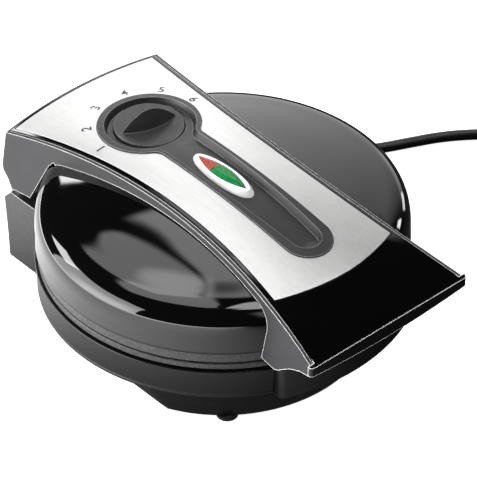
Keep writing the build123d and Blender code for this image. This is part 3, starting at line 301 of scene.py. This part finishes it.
MAT = {
    "gloss_shell": polished("gloss_shell", (0.0012, 0.0012, 0.0013), 0.035),
    "gloss_frame": polished("gloss_frame", (0.0008, 0.0008, 0.0009), 0.05),
    "gloss_block": polished("gloss_block", (0.001, 0.001, 0.0011), 0.08),
    "matte_housing": moulded("matte_housing", (0.018, 0.0183, 0.02), 0.42, relief=0.1, ior=1.38),
    "matte_cover": moulded("matte_cover", (0.02, 0.02, 0.021), 0.5),
    "satin_insert": moulded("satin_insert", (0.02, 0.02, 0.0215), 0.4, relief=0.15, ior=1.38),
    "satin_shell": moulded("satin_shell", (0.003, 0.003, 0.0032), 0.3, relief=0.1, ior=1.36),
    "trim_steel": brushed("trim_steel", (0.53, 0.53, 0.526), 0.4, (900, 30, 900), 0.03, 0.05),
    "white_bezel": moulded("white_bezel", (0.82, 0.82, 0.81), 0.25, relief=0.08, spread=0.03),
    "red_clear": lens("red_clear", (0.4, 0.06, 0.04), 0.03, 620),
    "green_clear": lens("green_clear", (0.0, 0.22, 0.045), 0.02, 900),
    "lamp_glass": moulded("lamp_glass", (0.7, 0.45, 0.35), 0.08, relief=0.02),
    "board": moulded("board", (0.3, 0.22, 0.12), 0.6),
    "ceramic_part": moulded("ceramic_part", (0.72, 0.7, 0.64), 0.65, grain=2600, relief=0.3),
    "bright_steel": brushed("bright_steel", (0.62, 0.62, 0.63), 0.28, (700, 700, 700)),
    "cast_plate": coated("cast_plate", (0.022, 0.022, 0.023), 0.36),
    "element_steel": brushed("element_steel", (0.32, 0.3, 0.28), 0.4, (500, 500, 500)),
    "reflector_sheet": brushed("reflector_sheet", (0.75, 0.75, 0.76), 0.25, (900, 60, 900)),
    "wire_sleeve": woven("wire_sleeve", (0.68, 0.66, 0.6)),
    "wire_earth": woven("wire_earth", (0.3, 0.5, 0.1)),
    "brass_part": brushed("brass_part", (0.72, 0.52, 0.22), 0.3, (900, 900, 900)),
    "black_rubber": moulded("black_rubber", (0.012, 0.012, 0.012), 0.7, sheen=0.05),
    "cord_sheath": moulded("cord_sheath", (0.005, 0.005, 0.0053), 0.34, grain=900, relief=0.12, ior=1.34),
    "cord_rubber": moulded("cord_rubber", (0.011, 0.011, 0.0115), 0.42, grain=1400),
    "tie_plastic": moulded("tie_plastic", (0.015, 0.015, 0.015), 0.5),
}
# painted highlights: bright colour along the sharp edges of the housing, the knob and trough, and the
# handle's front edge, standing in for light caught on those edges
paint_edge_highlight(MAT["matte_housing"], 0.0007, (0.72, 0.72, 0.73))
paint_edge_highlight(MAT["satin_insert"], 0.0005, (0.3, 0.3, 0.305))
paint_edge_highlight(MAT["gloss_frame"], 0.0009, (0.95, 0.95, 0.95), front_only)
for row in frame["record"]["subparts"]:
    o = nodes[row["node"]]
    for s in o.material_slots:
        s.material = MAT[row["material_slot"]]


# ---------------------------------------------------- edges of the CAD nodes
def soften(name, width, segments=2, angle=32, clamp=True):
    """Rounded edges by modifiers; the node's own mesh stays as it is."""
    o = nodes[name]
    w = o.modifiers.new("weld", "WELD")
    w.merge_threshold = 3e-6
    b = o.modifiers.new("round", "BEVEL")
    b.limit_method = "ANGLE"
    b.angle_limit = math.radians(angle)
    b.width = width * MM
    b.segments = segments
    b.use_clamp_overlap = clamp
    b.harden_normals = False
    n = o.modifiers.new("normals", "WEIGHTED_NORMAL")
    n.weight = 60
    n.keep_sharp = False


# ------------------------------------------------------------- mesh helpers
def mesh_piece(name, verts, faces, material, body, smooth=True):
    me = bpy.data.meshes.new(name)
    me.from_pydata([tuple(v) for v in verts], [], faces)
    me.validate()
    if smooth:
        me.polygons.foreach_set("use_smooth", [True] * len(me.polygons))
    o = link(bpy.data.objects.new(name, me))
    o.data.materials.append(material)
    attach(o, body)
    return o


def natural_spline(points, per):
    """Smooth line through 2-D points, per samples on each stretch."""
    p = np.array(points, float)
    t = np.r_[0, np.cumsum(np.hypot(*np.diff(p, axis=0).T))]
    n, h = len(t), np.diff(t)
    a = np.zeros((n, n))
    a[0, 0] = a[-1, -1] = 1
    rhs = np.zeros((n, 2))
    for i in range(1, n - 1):
        a[i, i - 1], a[i, i], a[i, i + 1] = h[i - 1], 2 * (h[i - 1] + h[i]), h[i]
        rhs[i] = 3 * ((p[i + 1] - p[i]) / h[i] - (p[i] - p[i - 1]) / h[i - 1])
    c = np.linalg.solve(a, rhs)
    out = []
    for i in range(n - 1):
        b = (p[i + 1] - p[i]) / h[i] - h[i] * (2 * c[i] + c[i + 1]) / 3
        d = (c[i + 1] - c[i]) / (3 * h[i])
        for s in np.linspace(0, h[i], per, endpoint=False):
            out.append(tuple(p[i] + b * s + c[i] * s * s + d * s**3))
    out.append(tuple(p[-1]))
    return out


def lathe(name, loop, material, body, steps, frame_at=None):
    """Closed (r, h) loop turned about an axis; points with r = 0 join up."""
    m = frame_at or Matrix.Identity(4)
    bm = bmesh.new()
    rings = []
    for r, h in loop:
        if r < 1e-7:
            v = bm.verts.new(m @ Vector((0, 0, h)))
            rings.append([v] * steps)
        else:
            rings.append(
                [
                    bm.verts.new(
                        m @ Vector((r * math.cos(2 * math.pi * k / steps),
                                    r * math.sin(2 * math.pi * k / steps), h))
                    )
                    for k in range(steps)
                ]
            )
    for i in range(len(rings)):
        a, b = rings[i], rings[(i + 1) % len(rings)]
        for k in range(steps):
            q = [a[k], a[(k + 1) % steps], b[(k + 1) % steps], b[k]]
            q = [v for j, v in enumerate(q) if v not in q[:j]]
            if len(q) > 2:
                bm.faces.new(q)
    bmesh.ops.recalc_face_normals(bm, faces=bm.faces)
    me = bpy.data.meshes.new(name)
    bm.to_mesh(me)
    bm.free()
    me.polygons.foreach_set("use_smooth", [True] * len(me.polygons))
    o = link(bpy.data.objects.new(name, me))
    o.data.materials.append(material)
    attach(o, body)
    return o


def rounded(loop, radii, n=4):
    """Closed 2-D loop with its corners rounded."""
    out = []
    count = len(loop)
    for i in range(count):
        p = Vector(loop[i])
        r = radii[i] if isinstance(radii, (list, tuple)) else radii
        a, b = Vector(loop[i - 1]) - p, Vector(loop[(i + 1) % count]) - p
        if r <= 0 or a.length < 1e-9 or b.length < 1e-9:
            out.append(tuple(p))
            continue
        ang = a.angle(b)
        if ang > math.radians(176):
            out.append(tuple(p))
            continue
        d = min(r / math.tan(ang / 2), 0.45 * a.length, 0.45 * b.length)
        pa, pb = p + a.normalized() * d, p + b.normalized() * d
        for k in range(n + 1):
            t = k / n
            out.append(tuple(pa.lerp(p, t).lerp(p.lerp(pb, t), t)))
    return out


# --------------------------------------------------------------- mains lead
ROUTE = [
    (88.6, 97.0, 15.5), (105.0, 95.6, 13.4), (122.0, 88.0, 8.6),
    (139.5, 78.0, 4.9), (158.5, 66.0, 3.45), (180.5, 53.9, 3.45),
    (197.0, 46.4, 3.45), (215.0, 38.0, 3.45), (232.1, 26.3, 3.45),
    (249.6, 10.2, 3.45), (266.7, -7.3, 3.45),
]
COIL_X, COIL_Y = 296.0, 22.0
# (angle, radius, height) along the put-away turns
COIL = [
    (245, 41.5, 3.45), (267, 41.3, 3.45), (289, 41.7, 3.45), (311, 41.4, 3.45),
    (333, 41.6, 3.45), (355, 41.3, 3.45), (377, 41.5, 3.45), (399, 41.8, 3.45),
    (421, 41.5, 3.45), (443, 41.6, 3.45), (465, 41.3, 3.45), (487, 41.6, 3.45),
    (509, 41.5, 3.45), (531, 41.6, 3.45), (551, 41.4, 3.45), (568, 40.2, 3.45),
    (584, 37.4, 3.45), (600, 35.0, 3.45), (618, 34.6, 3.45), (640, 34.5, 3.45),
    (663, 34.5, 3.45), (686, 34.6, 3.45), (709, 34.5, 3.45), (732, 34.5, 3.45),
    (755, 34.6, 3.45), (778, 34.5, 3.45), (801, 34.5, 3.45), (824, 34.5, 3.45),
    (847, 34.4, 3.45), (866, 34.2, 3.5), (881, 34.1, 4.3), (895, 34.4, 6.4),
    (909, 35.6, 8.8), (923, 37.2, 10.5), (937, 38.0, 10.7), (953, 38.0, 9.9),
    (971, 38.0, 9.45), (992, 38.0, 9.45), (1014, 38.0, 9.45), (1037, 38.1, 9.45),
    (1056, 38.0, 9.45),
]
TAIL_A = math.radians(-20)
tail_dir = (-math.sin(TAIL_A), math.cos(TAIL_A))
tail_at = (COIL_X + 38 * math.cos(TAIL_A), COIL_Y + 38 * math.sin(TAIL_A))
TAIL = [(tail_at[0] + tail_dir[0] * s, tail_at[1] + tail_dir[1] * s, z)
        for s, z in ((12, 9.4), (30, 9.2), (50, 7.75))]

line = [(x * MM, y * MM + CY, z * MM) for x, y, z in ROUTE]
for a, r, z in COIL:
    t = math.radians(a)
    line.append(((COIL_X + r * math.cos(t)) * MM, (COIL_Y + r * math.sin(t)) * MM + CY, z * MM))
line += [(x * MM, y * MM + CY, z * MM) for x, y, z in TAIL]

curve = bpy.data.curves.new("mains_lead", "CURVE")
curve.dimensions = "3D"
curve.bevel_depth = 3.4 * MM
curve.bevel_resolution = 6
curve.use_fill_caps = True
sp = curve.splines.new("NURBS")
sp.points.add(len(line) - 1)
for p, xyz in zip(sp.points, line):
    p.co = (*xyz, 1)
sp.order_u = 3
sp.use_endpoint_u = True
sp.resolution_u = 8
curve.materials.append(MAT["cord_sheath"])
lead = link(bpy.data.objects.new("mains_lead", curve))
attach(lead, "base")
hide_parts("power_cord", "cord_coil", "cord_tail")

# plug: round moulded body with grip ribs and a stepped cord grip
tilt = math.radians(15)
plug_axis = Vector((tail_dir[0] * math.cos(tilt), tail_dir[1] * math.cos(tilt), math.sin(tilt)))
plug_at = Matrix.Translation(Vector(line[-1])) @ plug_axis.to_track_quat("Z", "Y").to_matrix().to_4x4()
profile = [(0, 0.9), (4.6, 0.9), (4.9, 2.2), (4.3, 3.0), (4.3, 4.0), (5.2, 4.4), (5.2, 6.0),
           (4.6, 6.6), (4.6, 7.6), (5.7, 8.0), (5.7, 9.8), (5.0, 10.4), (5.0, 11.4),
           (6.3, 12.0), (6.4, 14.2), (9.4, 16.4), (11.2, 21.0), (13.4, 28.0), (16.0, 33.6),
           (17.9, 37.4), (18.05, 39.0), (18.05, 46.6), (17.2, 47.95), (0, 47.95)]
plug = lathe("mains_plug", [(r * MM, h * MM) for r, h in rounded(profile, 0.5, 3)],
             MAT["cord_rubber"], "base", 72, plug_at)
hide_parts("plug_body")

# strain relief: tapered sleeve with flexing grooves
sleeve_at = Matrix.Translation((0, CY + 97.0 * MM, 15.5 * MM)) @ Matrix.Rotation(math.pi / 2, 4, "Y")
sleeve = [(3.42, 54.0), (5.8, 54.0), (5.8, 56.1), (5.1, 56.1), (5.1, 58.7), (6.2, 58.7), (6.2, 60.8)]
h, r = 62.4, 5.95
while h < 86.0:
    sleeve += [(r, h), (r, h + 1.7), (r - 0.75, h + 2.1), (r - 0.75, h + 3.0)]
    h += 3.4
    r -= 0.22
sleeve += [(4.15, 87.2), (4.05, 88.55), (3.42, 88.55)]
relief = lathe("strain_relief_sleeve", [(a * MM, b * MM) for a, b in rounded(sleeve, 0.25, 2)],
               MAT["cord_rubber"], "base", 48, sleeve_at)
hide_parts("strain_relief")


# ------------------------------------------------------------------ lid dome
DOME = [
    (107.1, 79), (105.6, 85.6), (102.6, 89.4), (98, 92.1), (90, 94.2),
    (80, 96.3), (70, 98.2), (60, 99.8), (42, 102.2), (20, 104), (0, 104.5),
]
outer = natural_spline(DOME, 9)
band = [(106.9, 66.0), (107.5, 66.6)] + [(107.5 - 0.4 * k / 10, 66.6 + 12.4 * k / 10) for k in range(1, 10)]
inside = []
for i in range(0, len(outer), 6):
    r0, z0 = outer[max(i - 1, 0)]
    r1, z1 = outer[min(i + 1, len(outer) - 1)]
    n = Vector((z1 - z0, -(r1 - r0))).normalized()
    inside.append((max(outer[i][0] - 2.3 * n.x, 0), outer[i][1] - 2.3 * n.y))
inside[0] = (104.8, 79)
inside[-1] = (0, inside[-1][1])
loop = band + outer + inside[::-1] + [(105.2, 66.0)]
shell = lathe("lid_dome_shell", [(r * MM, z * MM) for r, z in loop],
              MAT["gloss_shell"], "lid", 288, Matrix.Translation((0, CY, 0)))
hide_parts("lid_dome")


def cut(piece, cutter):
    """Boolean difference, kept as the piece's own mesh."""
    m = piece.modifiers.new("cut", "BOOLEAN")
    m.operation = "DIFFERENCE"
    m.solver = "EXACT"
    m.object = cutter
    bpy.context.view_layer.update()
    made = bpy.data.meshes.new_from_object(
        piece.evaluated_get(bpy.context.evaluated_depsgraph_get())
    )
    piece.modifiers.remove(m)
    piece.data = made
    bpy.data.objects.remove(cutter)


def block(name, lo, hi):
    bm = bmesh.new()
    bmesh.ops.create_cube(bm, size=1)
    for v in bm.verts:
        v.co = Vector([lo[i] + (v.co[i] + 0.5) * (hi[i] - lo[i]) for i in range(3)])
    me = bpy.data.meshes.new(name)
    bm.to_mesh(me)
    bm.free()
    return link(bpy.data.objects.new(name, me))


cut(shell, block("lid_window", (-29 * MM, -68 * MM + CY, 0.085), (29 * MM, 88 * MM + CY, 0.115)))


# ------------------------------------------------------------ edge softening
soften("steel_trim_plate", 0.18, 2)
soften("front_block", 0.6, 3)
soften("thermostat_knob", 0.3, 2)
soften("control_trough", 0.3, 2)
soften("indicator_bezel", 0.3, 2)
soften("handle_lower_cover", 0.5)
soften("base_ring", 0.3, 2)
soften("base_pedestal", 0.6, 2)
soften("lower_heating_plate", 0.22, 2)
soften("upper_heating_plate", 0.22, 2)
soften("plug_pins", 0.3, 2)
soften("cord_tie", 0.25, 2)


# ------------------------------------------------------------- dial numbers
def waist(y):
    return 36.99 + 549.1 - math.sqrt(549.1**2 - (y + 6.73) ** 2)


def top_z(x, y):
    ridge = 108.284 - 541.18 + math.sqrt(541.18**2 - (y - 19.53) ** 2)
    t = min(max((y + 137.5) / 45.5, 0), 1)
    return ridge + 3.0 * t * t * (3 - 2 * t) * (1 - (x / waist(y)) ** 2)


ink = moulded("dial_ink", (0.01, 0.01, 0.01), 0.5)
for k in range(6):
    font = bpy.data.curves.new(f"digit_{k + 1}", "FONT")
    font.body = str(k + 1)
    font.size = 8.2 * MM
    font.align_x = "CENTER"
    font.align_y = "CENTER"
    font.offset = 0.17 * MM
    tmp = link(bpy.data.objects.new(f"tmp_{k}", font))
    bpy.context.view_layer.update()
    flat = bpy.data.meshes.new_from_object(
        tmp.evaluated_get(bpy.context.evaluated_depsgraph_get())
    )
    bpy.data.objects.remove(tmp)
    a = math.radians(180 - 36 * k)
    # the digit's upright points away from the knob
    turn = Matrix.Rotation(a - math.pi / 2, 4, "Z")
    co = np.array([v.co for v in flat.vertices])
    mid = (co.min(0) + co.max(0)) / 2
    bm = bmesh.new()
    bm.from_mesh(flat)
    bmesh.ops.triangulate(bm, faces=bm.faces)
    for v in bm.verts:
        p = turn @ (v.co - Vector(mid))
        x = p.x / MM + 35.2 * math.cos(a)
        y = p.y / MM + 64.5 + 35.2 * math.sin(a)
        v.co = Vector((x * MM, y * MM + CY, (top_z(x, y) + 0.03) * MM))
    me = bpy.data.meshes.new(f"dial_number_{k + 1}")
    bm.to_mesh(me)
    bm.free()
    digit = link(bpy.data.objects.new(f"dial_number_{k + 1}", me))
    me.materials.append(ink)
    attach(digit, "lid")


# ------------------------------------------------------------------- studio
def ground():
    bm = bmesh.new()
    bmesh.ops.create_grid(bm, x_segments=1, y_segments=1, size=14)
    me = bpy.data.meshes.new("floor")
    bm.to_mesh(me)
    bm.free()
    o = link(bpy.data.objects.new("floor", me))
    o.location.z = -0.0001
    mat = bpy.data.materials.new("floor")
    tree, sh = nodes_of(mat)
    at = place(tree)
    tone = noise(tree, at, 3, 2)
    tree.links.new(two_colours(tree, tone, (0.74, 0.74, 0.74), (0.78, 0.78, 0.78)), sh.inputs["Base Color"])
    sh.inputs["Roughness"].default_value = 0.9
    sh.inputs["Specular IOR Level"].default_value = 0.1
    # in reflections it is dim in front and grows brighter towards the left
    d = tree.nodes.new("ShaderNodeVectorMath")
    d.operation = "DOT_PRODUCT"
    d.inputs[1].default_value = (math.cos(math.radians(150)), math.sin(math.radians(150)), 0)
    tree.links.new(at, d.inputs[0])
    m = tree.nodes.new("ShaderNodeMapRange")
    m.interpolation_type = "SMOOTHSTEP"
    m.inputs["From Min"].default_value = -0.14
    m.inputs["From Max"].default_value = 0.24
    m.inputs["To Min"].default_value = 0.05
    m.inputs["To Max"].default_value = 3.0
    tree.links.new(d.outputs["Value"], m.inputs["Value"])
    # and far brighter where it sweeps up to the left
    d2 = tree.nodes.new("ShaderNodeVectorMath")
    d2.operation = "DOT_PRODUCT"
    d2.inputs[1].default_value = (math.cos(math.radians(155)), math.sin(math.radians(155)), 0)
    tree.links.new(at, d2.inputs[0])
    m2 = tree.nodes.new("ShaderNodeMapRange")
    m2.interpolation_type = "SMOOTHSTEP"
    m2.inputs["From Min"].default_value = 0.4
    m2.inputs["From Max"].default_value = 1.6
    m2.inputs["To Min"].default_value = 0.0
    m2.inputs["To Max"].default_value = 7.0
    tree.links.new(d2.outputs["Value"], m2.inputs["Value"])
    both = tree.nodes.new("ShaderNodeMath")
    both.operation = "ADD"
    tree.links.new(m.outputs["Result"], both.inputs[0])
    tree.links.new(m2.outputs["Result"], both.inputs[1])
    # and it is in the object's own shade close to the foot
    r = tree.nodes.new("ShaderNodeVectorMath")
    r.operation = "LENGTH"
    tree.links.new(at, r.inputs[0])
    m3 = tree.nodes.new("ShaderNodeMapRange")
    m3.interpolation_type = "SMOOTHSTEP"
    m3.inputs["From Min"].default_value = 0.09
    m3.inputs["From Max"].default_value = 0.2
    m3.inputs["To Min"].default_value = 0.06
    m3.inputs["To Max"].default_value = 1.0
    tree.links.new(r.outputs["Value"], m3.inputs["Value"])
    shaded = tree.nodes.new("ShaderNodeMath")
    shaded.operation = "MULTIPLY"
    tree.links.new(both.outputs[0], shaded.inputs[0])
    tree.links.new(m3.outputs["Result"], shaded.inputs[1])
    glow = tree.nodes.new("ShaderNodeEmission")
    tree.links.new(shaded.outputs[0], glow.inputs["Strength"])
    sh.inputs["Emission Color"].default_value = (1, 1, 1, 1)
    sh.inputs["Emission Strength"].default_value = 0.9
    seen = tree.nodes.new("ShaderNodeMixShader")
    tree.links.new(tree.nodes.new("ShaderNodeLightPath").outputs["Is Camera Ray"], seen.inputs[0])
    tree.links.new(glow.outputs[0], seen.inputs[1])
    tree.links.new(sh.outputs[0], seen.inputs[2])
    tree.links.new(seen.outputs[0], tree.nodes["Material Output"].inputs["Surface"])
    me.materials.append(mat)
    return o


ground()

world = bpy.data.worlds.new("studio")
scene.world = world
world.use_nodes = True
wt = world.node_tree
wt.nodes.clear()
w_out = wt.nodes.new("ShaderNodeOutputWorld")
w_dir = wt.nodes.new("ShaderNodeTexCoord").outputs["Generated"]
sep = wt.nodes.new("ShaderNodeSeparateXYZ")
wt.links.new(w_dir, sep.inputs[0])


def wmath(op, a, b=None, clamp=False):
    n = wt.nodes.new("ShaderNodeMath")
    n.operation = op
    n.use_clamp = clamp
    for i, v in enumerate((a, b)):
        if v is None:
            continue
        if isinstance(v, (int, float)):
            n.inputs[i].default_value = v
        else:
            wt.links.new(v, n.inputs[i])
    return n.outputs[0]


def wramp(v, lo, hi, a=0.0, b=1.0, kind="SMOOTHSTEP"):
    m = wt.nodes.new("ShaderNodeMapRange")
    m.interpolation_type = kind
    m.inputs["From Min"].default_value = lo
    m.inputs["From Max"].default_value = hi
    m.inputs["To Min"].default_value = a
    m.inputs["To Max"].default_value = b
    wt.links.new(v, m.inputs["Value"])
    return m.outputs["Result"]


az = wmath("MULTIPLY", wmath("ARCTAN2", sep.outputs[1], sep.outputs[0]), 180 / math.pi)
el = wmath("MULTIPLY", wmath("ARCSINE", sep.outputs[2]), 180 / math.pi)
spot = wt.nodes.new("ShaderNodeCombineXYZ")
wt.links.new(az, spot.inputs[0])
wt.links.new(el, spot.inputs[1])
spot.inputs[2].default_value = 1.0


def panel(corners, strength, soft):
    """Light panel: a convex shape in bearing and height, in degrees, soft-edged."""
    n = len(corners)
    area = sum(
        corners[i][0] * corners[(i + 1) % n][1] - corners[(i + 1) % n][0] * corners[i][1]
        for i in range(n)
    )
    sign = 1 if area > 0 else -1
    out = None
    for i in range(n):
        (x0, y0), (x1, y1) = corners[i], corners[(i + 1) % n]
        dx, dy = x1 - x0, y1 - y0
        k = sign / math.hypot(dx, dy)
        dot = wt.nodes.new("ShaderNodeVectorMath")
        dot.operation = "DOT_PRODUCT"
        dot.inputs[1].default_value = (-dy * k, dx * k, (dy * x0 - dx * y0) * k)
        wt.links.new(spot.outputs[0], dot.inputs[0])
        edge = wramp(dot.outputs["Value"], -soft, soft)
        out = edge if out is None else wmath("MULTIPLY", out, edge)
    return wmath("MULTIPLY", out, strength)


PANELS = [
    # beside the bridge, then a soft one further round, then the ceiling at the back
    panel([(40, 63.4), (52.6, 63.4), (59.9, 53), (64.6, 44.5), (50, 44.5)], 3.1, 1.1),
    panel([(54.2, 63.5), (67.6, 46.6), (71.0, 45.6), (73.0, 48), (73.6, 57), (72, 64)], 2.5, 0.9),
    panel([(51, 63.3), (51, 76), (60, 84), (90, 84), (106, 73), (105, 62.5), (90, 60),
           (80, 57.5), (73.5, 55.5)], 2.9, 1.6),
    # white cards on the left
    panel([(99.3, 27.5), (99.3, 41), (121, 41), (121, 28)], 13.0, 0.8),
    panel([(119, -40), (117.6, 42.5), (165, 42.5), (185, 35), (185, -40)], 5.8, 0.9),
    panel([(138, -40), (138, 24), (178, 24), (178, -40)], 5.5, 12.0),
    panel([(64.3, 31), (67.3, 31), (70.2, 22.5), (67.6, 22.5)], 12.0, 0.6),
    # small windows low on the right
    panel([(-5, 13), (-1, 22.5), (3, 22.5), (1, 13)], 12.0, 0.9),
    panel([(5, -6), (5, 9), (13, 9), (13, -6)], 6.0, 1.0),
    panel([(13, -8), (13, 12), (28, 12), (28, -8)], 0.7, 2.5),
    # for the steel: behind, and high on the right
    panel([(48, 26), (46, 40), (59, 40), (61, 26)], 3.5, 2.0),
    panel([(-70, 66), (-70, 86), (40, 86), (36, 72), (0, 68)], 6.5, 2.0),
    # soft, high in front and to the right
    panel([(-105, 40), (-105, 66), (-15, 66), (-15, 40)], 1.6, 6.0),
    # in front
    panel([(-66, 22), (-66, 38), (-40, 38), (-40, 22)], 5.0, 2.0),
]
total = wmath("ADD", PANELS[0], 0.025)
for p in PANELS[1:]:
    total = wmath("ADD", total, p)
# wide panel behind on the right, brighter towards the middle
wide = panel([(3, -30), (3, 39.5), (58, 39.5), (62, 20), (62, -30)], 1.0, 2.0)
total = wmath("ADD", total, wmath("MULTIPLY", wide, wramp(az, 6, 50, 0.05, 2.3, "LINEAR")))
lit = wt.nodes.new("ShaderNodeBackground")
wt.links.new(total, lit.inputs["Strength"])
lit.inputs["Color"].default_value = (1, 1, 1, 1)
white = wt.nodes.new("ShaderNodeBackground")
white.inputs["Color"].default_value = (1, 1, 1, 1)
white.inputs["Strength"].default_value = 1.0
pick = wt.nodes.new("ShaderNodeMixShader")
wt.links.new(wt.nodes.new("ShaderNodeLightPath").outputs["Is Camera Ray"], pick.inputs[0])
wt.links.new(lit.outputs[0], pick.inputs[1])
wt.links.new(white.outputs[0], pick.inputs[2])
wt.links.new(pick.outputs[0], w_out.inputs["Surface"])

scene.view_settings.view_transform = "Standard"
scene.view_settings.look = "None"
